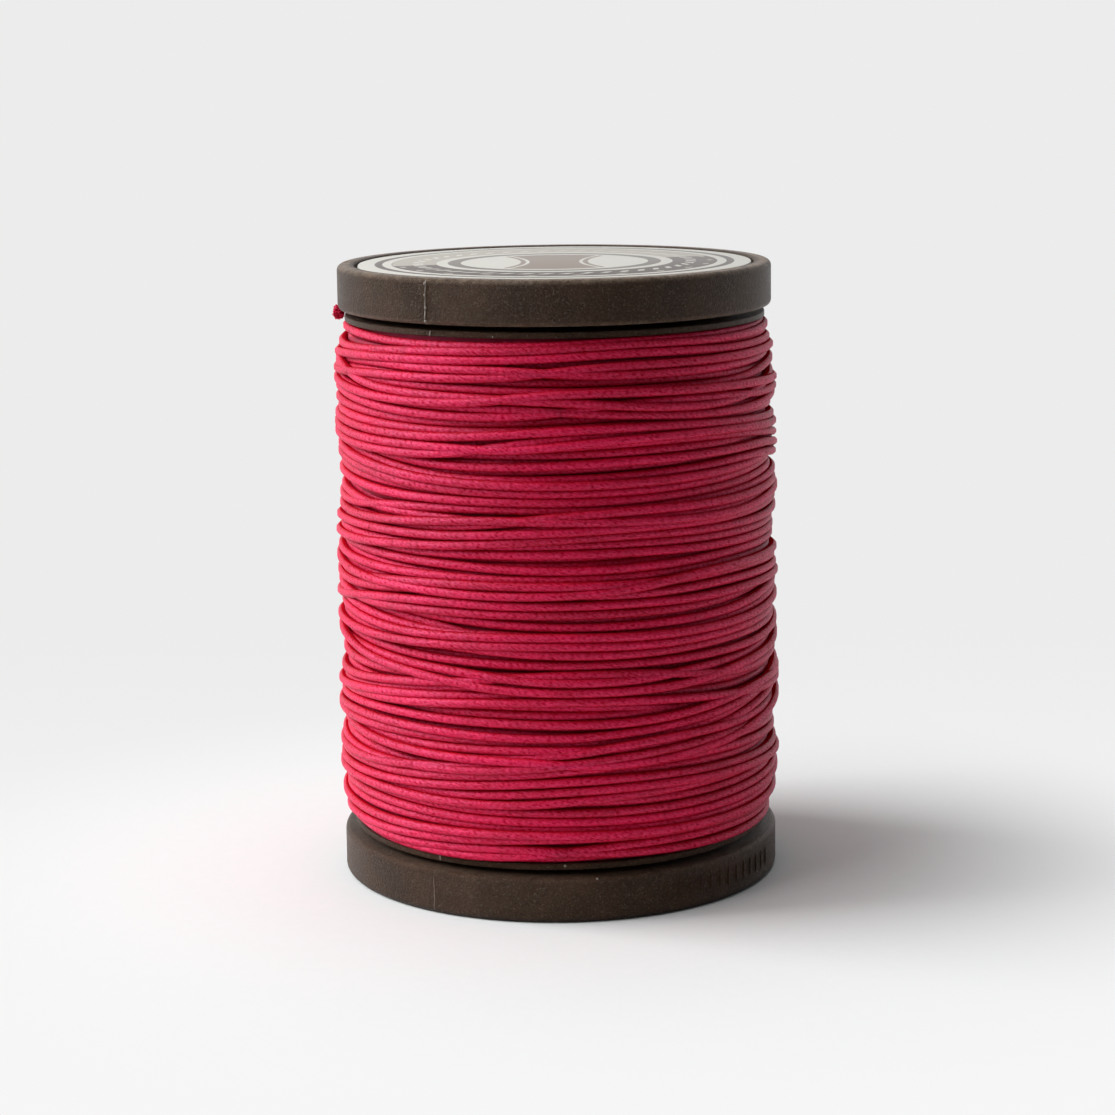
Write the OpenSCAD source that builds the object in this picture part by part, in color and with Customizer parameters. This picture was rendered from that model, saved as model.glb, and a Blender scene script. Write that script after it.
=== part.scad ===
// Flanged plastic spool, wound full with a round braided cord.
// Millimetres, +Z up. The origin is the centre of the face that the spool stands on,
// and -Y is the front.

/* [Spool] */
// Overall height of the spool
spool_h = 50.5; // [42:0.5:90]
// Diameter of the two rims
rim_d = 36; // [30:0.5:60]
// Height of each rim
rim_h = 3.6; // [2.9:0.1:6]
// Rounding of a rim's edge beside its groove
rim_round = 0.45; // [0.2:0.05:0.7]
// Rounding of a rim's outer edge
lip_round = 0.3; // [0.1:0.05:0.45]
// Width of the lip round the label seat
lip_w = 1.4; // [1:0.1:2.5]
// Depth of the label seat below the lip
seat_depth = 0.5; // [0.4:0.05:1.2]

/* [Pinch groove] */
// Width of the groove that pinches the cord's end
groove_w = 0.45; // [0.35:0.05:0.8]
// Depth of the groove, in from the ring's edge
groove_depth = 2.6; // [1.8:0.1:4]
// How far the ring between the groove and the cord is set in from the rim's edge
ring_set_in = 0.8; // [0.2:0.1:2]
// Thickness of that ring
ring_t = 0.5; // [0.3:0.05:1.2]

/* [Barrel] */
// Diameter of the spindle bore
bore_d = 12; // [5:0.5:14]
// Wall of the barrel
barrel_wall = 2; // [1.2:0.1:3]
// Chamfer at each mouth of the bore
bore_chamfer = 0.4; // [0.2:0.1:0.8]

/* [End ribs] */
// Number of ribs across each end
rib_count = 8; // [4:1:12]
// Thickness of a rib
rib_t = 1.2; // [0.8:0.1:2]
// Plastic left between the pockets and the groove
web_t = 1.2; // [0.8:0.1:1.6]
// Width of the ledge under the label's edge
ledge_w = 1; // [0.6:0.1:2]
// Wall of the collar round the bore
collar_w = 2; // [1:0.1:3]

/* [Mould line] */
// Width of the line that the mould's two halves leave
mould_line_w = 0.12; // [0.08:0.02:0.3]
// How far the line stands out
mould_line_h = 0.05; // [0.02:0.01:0.1]
// Turn of the line from the front, towards the right
mould_line_turn = -34; // [-90:1:90]

/* [Label] */
// Thickness of the label
label_t = 0.25; // [0.1:0.05:0.4]
// Gap between the label's edge and the lip. The label lies off the middle by part of it
label_gap = 0.25; // [0.1:0.05:0.5]

/* [Cord] */
// Diameter of the cord
cord_d = 0.72; // [0.6:0.02:1.1]
// How far the outer layer of cord stands out past the rims
cord_proud = 0.2; // [-2:0.1:0.5]
// Loops in the outer layer
loops = 24; // [12:1:24]
// How much the pack is drawn in beside each ring
draw_in = 0.4; // [0:0.05:0.8]
// Height of that drawn-in part
shoulder_h = 1.5; // [1:0.1:4]
// Clearance between the cord and what it lies on
lay_gap = 0.05; // [0.03:0.01:0.1]
// How far the turns wander up and down
wander = 0.14; // [0:0.01:0.16]
// Where the outer layer starts and ends, from the right, towards the back
wind_turn = 60; // [0:5:80]
// How far the cord's end stands out of the groove, past the ring's edge
stub_out = 1.2; // [0.4:0.1:2]

/* [Hidden] */
$fn = 128;
over = 1;                       // how far a cutting solid runs past what it cuts
rings_per_loop = 24;
cord_sides = 6;

rim_r = rim_d / 2;
ring_r = rim_r - ring_set_in;
seat_r = rim_r - lip_w;
pocket_r = seat_r - ledge_w;
groove_r = ring_r - groove_depth;
bore_r = bore_d / 2;
barrel_r = bore_r + barrel_wall;
collar_r = bore_r + collar_w;
flange_h = rim_h + groove_w + ring_t;
cord_r = cord_d / 2;

// The pack fills the space between the two rings.
pack_lo = flange_h + lay_gap;
pack_hi = spool_h - flange_h - lay_gap;
lay_r = rim_r + cord_proud - cord_r;
// Between two rings of the tube its chord dips inwards, so the pack is smaller by that.
pack_r = lay_r * cos(180 / rings_per_loop) - cord_r - lay_gap;
wind_lo = pack_lo + cord_r + lay_gap;
wind_hi = pack_hi - cord_r - lay_gap;

// The outer layer comes up out of the pack along a slot.
lead_turn = 24;
lead_rings = 6;
slot_depth = cord_d + lay_gap;

function polar(turn, r, z) = [r * cos(turn), r * sin(turn), z];
function smooth(t) = t * t * (3 - 2 * t);
function drawn_in(z) = draw_in * max(0, 1 - min(z - pack_lo, pack_hi - z) / shoulder_h);

// A rectangle's corner between two edges, less its rounding.
module corner_waste(r) {
    difference() {
        translate([-over, -over]) square(r + over);
        translate([r, r]) circle(r);
    }
}

// Half section of one flange: rim, groove and ring, with the outer face at z = 0.
module flange_section() {
    difference() {
        union() {
            translate([bore_r, seat_depth]) square([rim_r - bore_r, rim_h - seat_depth]);
            translate([seat_r, 0]) square([lip_w, rim_h]);
            translate([bore_r, rim_h]) square([groove_r - bore_r, groove_w]);
            translate([bore_r, rim_h + groove_w]) square([ring_r - bore_r, ring_t]);
        }
        translate([rim_r, 0]) mirror([1, 0]) corner_waste(lip_round);
        translate([rim_r, rim_h]) rotate(180) corner_waste(rim_round);
        translate([seat_r, 0]) corner_waste(lip_round / 2);
        translate([bore_r, seat_depth]) rotate(45)
            square(bore_chamfer * sqrt(2), center = true);
    }
}

// The pockets of one end, between the collar, the ledge and the ribs.
module end_pockets() {
    translate([0, 0, seat_depth - over])
        linear_extrude(rim_h - web_t - seat_depth + over)
            difference() {
                circle(pocket_r);
                circle(collar_r);
                for (i = [0 : rib_count - 1])
                    rotate(360 * (i + 0.5) / rib_count)
                        translate([0, -rib_t / 2]) square([pocket_r + over, rib_t]);
            }
}

// The raised line down both sides of one flange.
module flange_mould_lines() {
    for (side = [0, 180]) rotate(mould_line_turn - 90 + side) {
        translate([rim_r - lip_w / 2, -mould_line_w / 2, lip_round])
            cube([lip_w / 2 + mould_line_h, mould_line_w, rim_h - rim_round - lip_round]);
        translate([ring_r - lip_w / 2, -mould_line_w / 2, rim_h + groove_w])
            cube([lip_w / 2 + mould_line_h, mould_line_w, ring_t]);
    }
}

module both_ends() {
    children();
    translate([0, 0, spool_h]) mirror([0, 0, 1]) children();
}

// One moulding: a hollow barrel with a double flange at each end.
module spool_body() {
    color("#3f302a") difference() {
        union() {
            rotate_extrude() {
                flange_section();
                translate([0, spool_h]) mirror([0, 1]) flange_section();
                translate([bore_r, flange_h]) square([barrel_wall, spool_h - 2 * flange_h]);
            }
            both_ends() flange_mould_lines();
        }
        both_ends() end_pockets();
    }
}

// A thin printed disc on the top seat. It closes the bore's upper mouth.
module top_label() {
    color("#d8d2c6") translate([label_gap * 0.6, 0, spool_h - seat_depth])
        cylinder(r = seat_r - label_gap, h = label_t);
}

// Every layer of cord under the outer one, with the slot that the outer layer comes from.
module cord_pack() {
    color("#a8183f") difference() {
        rotate_extrude() polygon([
            [barrel_r + lay_gap, pack_lo],
            [pack_r - draw_in, pack_lo],
            [pack_r, pack_lo + shoulder_h],
            [pack_r, pack_hi - shoulder_h],
            [pack_r - draw_in, pack_hi],
            [barrel_r + lay_gap, pack_hi]
        ]);
        rotate([0, 0, wind_turn - lead_turn])
            rotate_extrude(angle = lead_turn + 4)
                translate([pack_r - draw_in - slot_depth, pack_lo - over])
                    square([slot_depth + over * 2, cord_d + 2 * lay_gap + over]);
    }
}

// Centre of the outer layer after i rings, each a step of 360 / rings_per_loop. Rings
// below 0 lie in the slot, deeper at the cord's inner end.
function wind_angle(i) =
    wind_turn + (i < 0 ? i * (lead_turn - 0.5) / lead_rings : i * 360 / rings_per_loop);
function wind_z(i) =
    let (u = max(0, i) / (loops * rings_per_loop), a = wind_angle(max(0, i)))
    wind_lo + u * (wind_hi - wind_lo)
        + wander * sin(180 * u) * (sin(2.37 * a) + sin(0.61 * a + 90) * 0.5);
function wind_r(i) =
    let (sunk = i < 0 ? smooth(min(1, -i / (lead_rings - 1))) : 0)
    lay_r - drawn_in(wind_z(i)) - sunk * slot_depth;

// One ring of a tube: its centre in polar form, its half sizes across and up, and how far
// its plane is turned from the one that holds the axis.
function tube_ring(turn, r, z, across, up, yaw = 0) = [
    for (k = [0 : cord_sides - 1])
        let (a = 360 * (k + 0.5) / cord_sides)
        polar(turn, r, z) + across * cos(a) * polar(turn + yaw, 1, 0) + [0, 0, up * sin(a)]
];

function flat(rows) = [for (row = rows) each row];

// Sweeps a closed tube of triangles through a list of rings.
module tube(rings) {
    n = len(rings);
    m = cord_sides;
    sides = [
        for (i = [0 : n - 2], k = [0 : m - 1])
            let (a = i * m + k, b = i * m + (k + 1) % m)
            each [[a, a + m, b], [b, a + m, b + m]]
    ];
    first_cap = [for (k = [1 : m - 2]) [0, k, k + 1]];
    last_cap = [for (k = [1 : m - 2]) [(n - 1) * m, (n - 1) * m + k + 1, (n - 1) * m + k]];
    polyhedron(points = flat(rings), faces = concat(sides, first_cap, last_cap));
}

wind_end = loops * rings_per_loop;
wind_centres = [
    for (i = [0 : wind_end]) polar(wind_angle(i), wind_r(i), wind_z(i))
];
// Least gap between a turn and the next ones, measured between the rings' centres.
least_gap = min([
    for (i = [0 : wind_end], j = [i + rings_per_loop / 2 : min(wind_end, i + 2 * rings_per_loop)])
        norm(wind_centres[j] - wind_centres[i])
]) - cord_d;
echo(least_gap_mm = least_gap);

// The outer layer: one cord, wound up the pack from the slot to below the top ring.
module cord_winding() {
    color("#c2224e") tube([
        for (i = [-lead_rings : wind_end])
            tube_ring(wind_angle(i), wind_r(i), wind_z(i), cord_r, cord_r)
    ]);
}

// The cord's loose end. It climbs past the top ring, is pressed flat in the groove, and
// comes out as a short stub. Each row holds the turn from where the outer layer ends, the
// centre's radius and height, the half sizes across and up, and the yaw.
tail_groove_z = spool_h - rim_h - groove_w / 2;
tail_flat = groove_w / 2 - lay_gap / 2;
tail_wide = cord_r * cord_r / tail_flat * 0.75;
tail_past_ring = ring_r + cord_r + lay_gap;
tail_in_groove = ring_r - tail_wide;
tail_rows = let (r = wind_r(wind_end), z = wind_z(wind_end)) [
    [0, r, z, cord_r, cord_r, 0],
    [3, r, z, cord_r, cord_r, 0],
    [7, tail_past_ring, z + 0.05, cord_r, cord_r, 0],
    [11, tail_past_ring, z + 0.3, cord_r, cord_r, 0],
    [15, tail_past_ring, z + 0.7, cord_r, cord_r, 0],
    [19, tail_past_ring + 0.05, tail_groove_z - 0.2, cord_r, cord_r * 0.9, 0],
    [22, tail_past_ring + 0.1, tail_groove_z, cord_r * 1.1, cord_r * 0.6, 0],
    [25, tail_past_ring + 0.2, tail_groove_z, tail_wide, tail_flat, 0],
    [29, tail_in_groove + 0.5, tail_groove_z, tail_wide, tail_flat, 0],
    [34, tail_in_groove, tail_groove_z, tail_wide, tail_flat, 0],
    [44, tail_in_groove, tail_groove_z, tail_wide, tail_flat, 0],
    [54, tail_in_groove, tail_groove_z, tail_wide, tail_flat, 0],
    [64, tail_in_groove, tail_groove_z, tail_wide, tail_flat, 0],
    [74, tail_in_groove, tail_groove_z, tail_wide, tail_flat, 0],
    [84, tail_in_groove, tail_groove_z, tail_wide, tail_flat, 0],
    [94, tail_in_groove, tail_groove_z, tail_wide, tail_flat, 0],
    [104, tail_in_groove, tail_groove_z, tail_wide, tail_flat, 0],
    [109, tail_in_groove + 0.1, tail_groove_z, tail_wide, tail_flat, -15],
    [112, tail_in_groove + 0.5, tail_groove_z, tail_wide * 0.9, tail_flat, -40],
    [114, ring_r + 0.1, tail_groove_z, cord_r * 1.2, tail_flat, -60],
    [115, ring_r + stub_out / 2, tail_groove_z - 0.15, cord_r, cord_r * 0.8, -70],
    [115.5, ring_r + stub_out, tail_groove_z - 0.35, cord_r, cord_r, -75]
];

module cord_tail() {
    color("#c2224e") tube([
        for (row = tail_rows) tube_ring(wind_angle(wind_end) + row[0], row[1], row[2],
                                        row[3], row[4], row[5])
    ]);
}

spool_body();
top_label();
cord_pack();
cord_winding();
cord_tail();
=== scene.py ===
import math
import bpy
import numpy as np
from mathutils import Euler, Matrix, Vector


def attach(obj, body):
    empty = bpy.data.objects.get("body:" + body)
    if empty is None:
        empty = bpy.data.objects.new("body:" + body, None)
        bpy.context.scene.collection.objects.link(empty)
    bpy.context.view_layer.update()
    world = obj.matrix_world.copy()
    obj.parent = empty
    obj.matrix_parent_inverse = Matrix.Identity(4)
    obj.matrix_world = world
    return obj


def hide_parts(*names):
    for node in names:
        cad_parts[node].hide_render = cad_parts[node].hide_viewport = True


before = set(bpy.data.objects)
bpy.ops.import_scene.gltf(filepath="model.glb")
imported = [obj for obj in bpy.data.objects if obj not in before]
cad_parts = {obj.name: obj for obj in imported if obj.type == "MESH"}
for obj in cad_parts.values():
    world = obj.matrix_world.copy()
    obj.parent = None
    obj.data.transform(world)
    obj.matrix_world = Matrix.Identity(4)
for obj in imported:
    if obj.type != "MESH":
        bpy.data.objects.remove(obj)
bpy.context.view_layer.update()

mm = 0.001

# camera in front, a little higher than the spool and tilted down
cameraLook = {
    "place": (0.0, -0.23166, 0.06966),
    "tiltDown": 0.1535,             # radians
    "roll": -0.0125,
    "lens": 91.37,                  # mm, on a sensor as wide as the next value
    "sensor": 36,
    "shift": (0.0011, -0.0857),
    "clip": (0.01, 20),
}


def makeCamera(look):
    data = bpy.data.cameras.new("spoolCamera")
    data.sensor_width = look["sensor"]
    data.sensor_fit = "HORIZONTAL"
    data.lens = look["lens"]
    data.shift_x, data.shift_y = look["shift"]
    data.clip_start, data.clip_end = look["clip"]
    camera = bpy.data.objects.new("spoolCamera", data)
    bpy.context.scene.collection.objects.link(camera)
    aim = Euler((math.pi / 2 - look["tiltDown"], 0, 0)).to_matrix()
    roll = Euler((0, 0, look["roll"])).to_matrix()
    camera.matrix_world = (aim @ roll).to_4x4()
    camera.location = look["place"]
    bpy.context.scene.camera = camera


makeCamera(cameraLook)
print("camera placed")

# the spool's moulding
spoolShape = {
    # radii and heights in mm, from the axis and the foot
    "height": 50.5,
    "rim": 18.0, "rimTop": 3.6,
    "groove": 14.6, "grooveTop": 4.05,      # where the cord's end is pinched
    "ring": 17.2, "ringTop": 4.55,
    "barrel": 8.0,
    "bore": 6.0, "boreChamfer": 0.4,
    "seat": 16.6, "seatDepth": 0.5,
    "steps": 192,                   # round the axis
    "largeRounding": 0.15,          # mm, from here on a rounding has more segments
    "segments": {"large": 5, "small": 3},
    "pocket": {
        "outer": 15.6 * mm, "inner": 8.0 * mm, "top": 2.4 * mm, "steps": (128, 64),
        "rib": 1.2 * mm, "bars": 4,
        "round": (0.3 * mm, 3, 50),     # width, segments, and from what angle
    },
    "edge": (0.06 * mm, 2, 60),     # the same for the pockets' mouths
    "smooth": 35,                   # degrees, up to here an edge is shaded smooth
    # from and up to which height, and how far each rim shrank or spread
    "rims": [(46.85 * mm, 51.0 * mm, 0.986), (-1.0 * mm, 3.65 * mm, 1.004)],
    "rimInside": 16.0 * mm,         # what lies inside this radius kept its size
}
seamLook = {
    "turn": -34.0,                  # degrees from the front, towards the right
    "thick": 0.055 * mm,
    "faint": 0.3,                   # the lower rim's line is fainter
    "wander": 0.035 * mm,
    "uneven": (0.8, 0.4),           # thickness at least, and what chance adds
    "seed": 5,
    # radius and height along the line, on a rim and on a ring
    "rim": [
        (17.78, 0.12), (17.9, 0.2), (17.98, 0.32), (18.0, 0.5), (18.0, 0.9), (18.0, 1.5),
        (18.0, 2.1), (18.0, 2.7), (18.0, 3.1), (17.92, 3.42), (17.7, 3.57),
    ],
    "ring": [(17.2, 4.12), (17.2, 4.25), (17.2, 4.38), (17.2, 4.5)],
    # degrees from the front, radius, height and size of the small blobs of flash
    "blobs": [
        (-34.0, 17.99, 50.1, 0.13), (-33.8, 18.0, 48.2, 0.14), (-34.1, 17.93, 47.15, 0.15),
        (-34.2, 18.0, 49.2, 0.09), (1.0, 17.2, 4.42, 0.12), (9.0, 17.86, 3.5, 0.10),
        (-16.0, 17.2, 46.1, 0.08), (21.0, 17.95, 47.0, 0.07),
    ],
    # height and width along a blob, by its size
    "blobShape": [(-0.9, 0.35), (-0.45, 0.9), (0.0, 1.0), (0.5, 0.8), (0.9, 0.3)],
    "blobLean": 0.02 * mm,
}
# raised ticks on the lower rim
tickShape = {
    "from": 28.0, "to": 68.0,       # degrees from the front, towards the right
    "count": 13,
    "radius": 17.985 * mm, "low": 1.1 * mm, "high": 2.7 * mm,
    "widths": (0.04 * mm, 0.1 * mm, 0.1 * mm, 0.1 * mm, 0.04 * mm),
}


def pickVertices(piece, test):
    bpy.ops.object.mode_set(mode="OBJECT")
    for item in (*piece.data.polygons, *piece.data.edges):
        item.select = False
    for vertex in piece.data.vertices:
        vertex.select = test(vertex)
    bpy.ops.object.mode_set(mode="EDIT")


def selectOnly(piece):
    bpy.ops.object.select_all(action="DESELECT")
    piece.select_set(True)
    bpy.context.view_layer.objects.active = piece


def shadeSmooth(piece, degrees):
    selectOnly(piece)
    bpy.ops.object.shade_smooth_by_angle(angle=math.radians(degrees))


# radius, height and rounding of each corner of the lower half's section
def lowerHalf(shape):
    bore, chamfer, depth = shape["bore"], shape["boreChamfer"], shape["seatDepth"]
    return [
        (bore, depth + chamfer, 0), (bore + chamfer, depth, 0),
        (shape["seat"], depth, 0.08), (shape["seat"], 0.0, 0.18),
        (shape["rim"], 0.0, 0.42), (shape["rim"], shape["rimTop"], 0.42),
        (shape["groove"], shape["rimTop"], 0.05), (shape["groove"], shape["grooveTop"], 0.05),
        (shape["ring"], shape["grooveTop"], 0.1), (shape["ring"], shape["ringTop"], 0.12),
        (shape["barrel"], shape["ringTop"], 0.1),
    ]


def traceSection(corners, largeRounding, segments):
    bpy.ops.object.select_all(action="DESELECT")
    bpy.ops.mesh.primitive_plane_add(size=mm)
    piece = bpy.context.object
    bpy.ops.object.mode_set(mode="EDIT")
    bpy.ops.mesh.select_mode(type="VERT")
    bpy.ops.mesh.select_all(action="SELECT")
    bpy.ops.mesh.merge(type="CENTER")
    bpy.ops.transform.translate(value=(corners[0][0] * mm, 0, corners[0][1] * mm))
    for here, there in zip(corners, corners[1:]):
        step = ((there[0] - here[0]) * mm, 0, (there[1] - here[1]) * mm)
        bpy.ops.mesh.extrude_vertices_move(TRANSFORM_OT_translate={"value": step})
    last = len(corners) - 1
    pickVertices(piece, lambda v: v.index in (0, last))
    bpy.ops.mesh.edge_face_add()
    for rounding in sorted({c[2] for c in corners if c[2]}):
        spots = [Vector((c[0] * mm, 0, c[1] * mm)) for c in corners if c[2] == rounding]
        pickVertices(piece, lambda v: any((v.co - spot).length < 1e-6 for spot in spots))
        count = segments["large" if rounding > largeRounding else "small"]
        bpy.ops.mesh.bevel(offset=rounding * mm, segments=count, affect="VERTICES")
    return piece


def addDrum(radius, low, high, vertices):
    bpy.ops.object.select_all(action="DESELECT")
    bpy.ops.mesh.primitive_cylinder_add(vertices=vertices, radius=radius, depth=high - low,
                                        location=(0, 0, (low + high) / 2))
    bpy.ops.object.transform_apply(location=True, rotation=True, scale=True)
    return bpy.context.object


def cutAway(piece, cutter):
    cut = piece.modifiers.new("cut", "BOOLEAN")
    cut.operation = "DIFFERENCE"
    cut.solver = "EXACT"
    cut.object = cutter
    bpy.context.view_layer.objects.active = piece
    bpy.ops.object.modifier_apply(modifier=cut.name)
    bpy.data.objects.remove(cutter)


def softenEdges(piece, width, segments, angle):
    bevel = piece.modifiers.new("soften", "BEVEL")
    bevel.width = width
    bevel.segments = segments
    bevel.limit_method = "ANGLE"
    bevel.angle_limit = math.radians(angle)
    bpy.context.view_layer.objects.active = piece
    bpy.ops.object.modifier_apply(modifier=bevel.name)


def makePockets(pocket, low, high):
    pockets = addDrum(pocket["outer"], low, high, pocket["steps"][0])
    cutAway(pockets, addDrum(pocket["inner"], low - mm, high + mm, pocket["steps"][1]))
    for k in range(pocket["bars"]):
        bpy.ops.object.select_all(action="DESELECT")
        bpy.ops.mesh.primitive_cube_add(size=1, location=(0, 0, (low + high) / 2),
                                        rotation=(0, 0, math.pi * (k + 0.5) / pocket["bars"]))
        bar = bpy.context.object
        bar.scale = (3 * pocket["outer"], pocket["rib"], high - low + 2 * mm)
        bpy.ops.object.transform_apply(location=True, rotation=True, scale=True)
        cutAway(pockets, bar)
    softenEdges(pockets, *pocket["round"])
    return pockets


def makeSpool(shape):
    low, height = lowerHalf(shape), shape["height"] * mm
    high = [(r, shape["height"] - z, rounding) for r, z, rounding in reversed(low)]
    piece = traceSection(low + high, shape["largeRounding"], shape["segments"])
    bpy.ops.mesh.select_all(action="SELECT")
    bpy.ops.mesh.spin(steps=shape["steps"], angle=2 * math.pi, center=(0, 0, 0), axis=(0, 0, 1))
    bpy.ops.mesh.select_all(action="SELECT")
    bpy.ops.mesh.remove_doubles(threshold=1e-6)
    bpy.ops.mesh.normals_make_consistent(inside=False)
    bpy.ops.object.mode_set(mode="OBJECT")
    piece.name = piece.data.name = "spoolBody"
    pocket = shape["pocket"]
    cutAway(piece, makePockets(pocket, -mm, pocket["top"]))
    cutAway(piece, makePockets(pocket, height - pocket["top"], height + mm))
    softenEdges(piece, *shape["edge"])
    shadeSmooth(piece, shape["smooth"])
    return piece


# thin round wires along lists of points, as one mesh
def makeWires(name, wires, sides=1):
    curve = bpy.data.curves.new(name, "CURVE")
    curve.dimensions = "3D"
    curve.bevel_depth = 1.0
    curve.bevel_resolution = sides
    curve.use_fill_caps = True
    for points, sizes in wires:
        spline = curve.splines.new("POLY")
        spline.points.add(len(points) - 1)
        for spot, point, size in zip(spline.points, points, sizes):
            spot.co = (*point, 1)
            spot.radius = size
    piece = bpy.data.objects.new(name, curve)
    bpy.context.scene.collection.objects.link(piece)
    selectOnly(piece)
    bpy.ops.object.convert(target="MESH")
    piece = bpy.context.object
    bpy.ops.object.shade_smooth()
    return piece


# a spot on the spool, by degrees from the front
def spotAt(degrees, r, z, aside=0.0):
    turn = math.radians(degrees - 90)
    return (r * math.cos(turn) - aside * math.sin(turn), r * math.sin(turn) + aside * math.cos(turn), z)


def makeSeams(look, height):
    rng = np.random.default_rng(look["seed"])
    least, chance = look["uneven"]
    wires = []
    for side in (0, 180):
        for path in (look["rim"], look["ring"]):
            for upper in (False, True):
                points, sizes = [], []
                aside = np.cumsum(rng.standard_normal(len(path))) * look["wander"]
                for (r, z), step in zip(path, aside - aside.mean()):
                    z = height - z if upper else z
                    points.append(spotAt(look["turn"] + side, r * mm, z * mm, step))
                    weight = look["faint"] if path is look["rim"] and not upper else 1
                    sizes.append(look["thick"] * weight * (least + chance * rng.random()))
                wires.append((points, sizes))
    for turn, r, z, size in look["blobs"]:
        points = [spotAt(turn, r * mm, (z + up * size) * mm, look["blobLean"] * up)
                  for up, wide in look["blobShape"]]
        wires.append((points, [size * wide * mm for up, wide in look["blobShape"]]))
    return makeWires("mouldSeams", wires)


def makeTicks(shape):
    heights = np.linspace(shape["low"], shape["high"], len(shape["widths"]))
    turns = np.linspace(shape["from"], shape["to"], shape["count"])
    return makeWires("mouldTicks", [([spotAt(turn, shape["radius"], z) for z in heights], shape["widths"])
                                    for turn in turns])


def joinTo(piece, *others):
    bpy.ops.object.select_all(action="DESELECT")
    for other in others:
        other.select_set(True)
    piece.select_set(True)
    bpy.context.view_layer.objects.active = piece
    bpy.ops.object.join()


# moulded rims never come out quite alike
def easeRims(piece, shape):
    selectOnly(piece)
    for low, high, factor in shape["rims"]:
        pickVertices(piece, lambda v: low < v.co.z < high and math.hypot(v.co.x, v.co.y) > shape["rimInside"])
        bpy.ops.transform.resize(value=(factor, factor, 1), center_override=(0, 0, 0))
        bpy.ops.object.mode_set(mode="OBJECT")


spoolBody = makeSpool(spoolShape)
mouldSeams = makeSeams(seamLook, spoolShape["height"])
mouldTicks = makeTicks(tickShape)
for piece in (spoolBody, mouldSeams, mouldTicks):
    easeRims(piece, spoolShape)
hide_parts("spool_body")
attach(spoolBody, "root")
print("spool modelled")

# the printed card in the lip
cardShape = {
    "centre": 0.05 * mm,            # pressed a little off the middle
    "radius": 16.1 * mm, "low": 50.0 * mm, "high": 50.42 * mm,
    "round": (0.08 * mm, 3, 60),
    "steps": 192, "smooth": 40,
}


def makeCard(card):
    bpy.ops.object.select_all(action="DESELECT")
    bpy.ops.mesh.primitive_cylinder_add(vertices=card["steps"], radius=card["radius"],
                                        depth=card["high"] - card["low"],
                                        location=(card["centre"], 0, (card["high"] + card["low"]) / 2))
    piece = bpy.context.object
    piece.name = piece.data.name = "labelCard"
    bpy.ops.object.transform_apply(location=True, rotation=True, scale=True)
    softenEdges(piece, *card["round"])
    shadeSmooth(piece, card["smooth"])
    return piece


labelCard = makeCard(cardShape)
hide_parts("top_label")
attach(labelCard, "root")
print("label modelled")

# the cord, laid turn by turn and settled
cordLay = {
    "diameter": 0.70 * mm,          # wound tight
    "swell": 1.05,                  # where turns touch they are pressed flat together
    "low": 4.57 * mm,               # the two rings that the turns lie between
    "high": 45.93 * mm,
    "core": 16.7 * mm,              # where the modelled layers start
    "turns": 142,
    "steps": 86,                    # samples to a turn
    "sides": 8,
    "pitch": 0.6 * mm,
    "endTurn": 60.0,                # degrees, from the right towards the back
    # how far a turn wanders up and down, by waves to a turn
    "waves": (0.2 * mm, 0.5 * mm, 0.3 * mm, 0.12 * mm, 0.06 * mm, 0.03 * mm),
    "group": 1.1,                   # turns that run alike
    "jitter": (0.08, 0.03 * mm),    # reach in turns, and size
    "calm": 0.5,                    # turns before the end that run along the top ring
    "cell": 0.05 * mm,              # of the grid that keeps the surface while turns are laid
    "bridge": 0.6,                  # how far a stiff cord spans what lies under it
    "stiff": 5.0,                   # samples
    "bend": 0.2,
    "slip": 0.8,                    # how freely a turn is pushed sideways
    "outerShare": (0.5, 0.35, 1.5),     # of a push: side by side, added further out, and how soon
    "crowding": 0.6,                # a turn pushed from many sides moves less
    "passes": 2,                    # of parting in a round
    "pull": 0.05 * mm,
    "rounds": 340, "lastRounds": 24,
    "lookAgain": 12,                # rounds between two searches for neighbours
    "farthest": 40,                 # neighbours looked at, upwards
    "reach": 1.35,                  # diameters
    "outer": 17.72 * mm,            # mean radius of the finished surface
    "drawnIn": (0.72 * mm, 1.6 * mm, 1.5),  # how far, from what distance and how steeply at the rings
    "taper": 0.13 * mm,             # fuller towards the foot
    "proud": 0.03 * mm,             # turns past this are pressed in
    "squash": 0.06 * mm,
    "even": (0.7 * mm, 0.05),       # reach along the spool, and in turns, of the levelling
    "evenCell": 0.1 * mm,
    "press": (0.05 * mm, 0.22 * mm),    # where crossing turns stand out, they are pressed down
    "pressBeside": 0.85,            # less room for that beside the rings
    "ease": 2.5,                    # samples
    "seed": 9,
}


def gaussian(reach):
    k = np.arange(-int(3 * reach), int(3 * reach) + 1)
    bell = np.exp(-0.5 * (k / reach) ** 2)
    return bell / bell.sum()


# evens a row out; its ends are carried on, or joined where ends is "wrap"
def smooth(row, reach, ends="edge"):
    bell = gaussian(reach)
    return np.convolve(np.pad(row, len(bell) // 2, ends), bell, "valid")


# slow random wander
def drift(rng, count, reach, size):
    bell = gaussian(reach)
    path = np.convolve(rng.standard_normal(count + len(bell) - 1), bell, "valid")
    return size * path / path.std()


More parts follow.
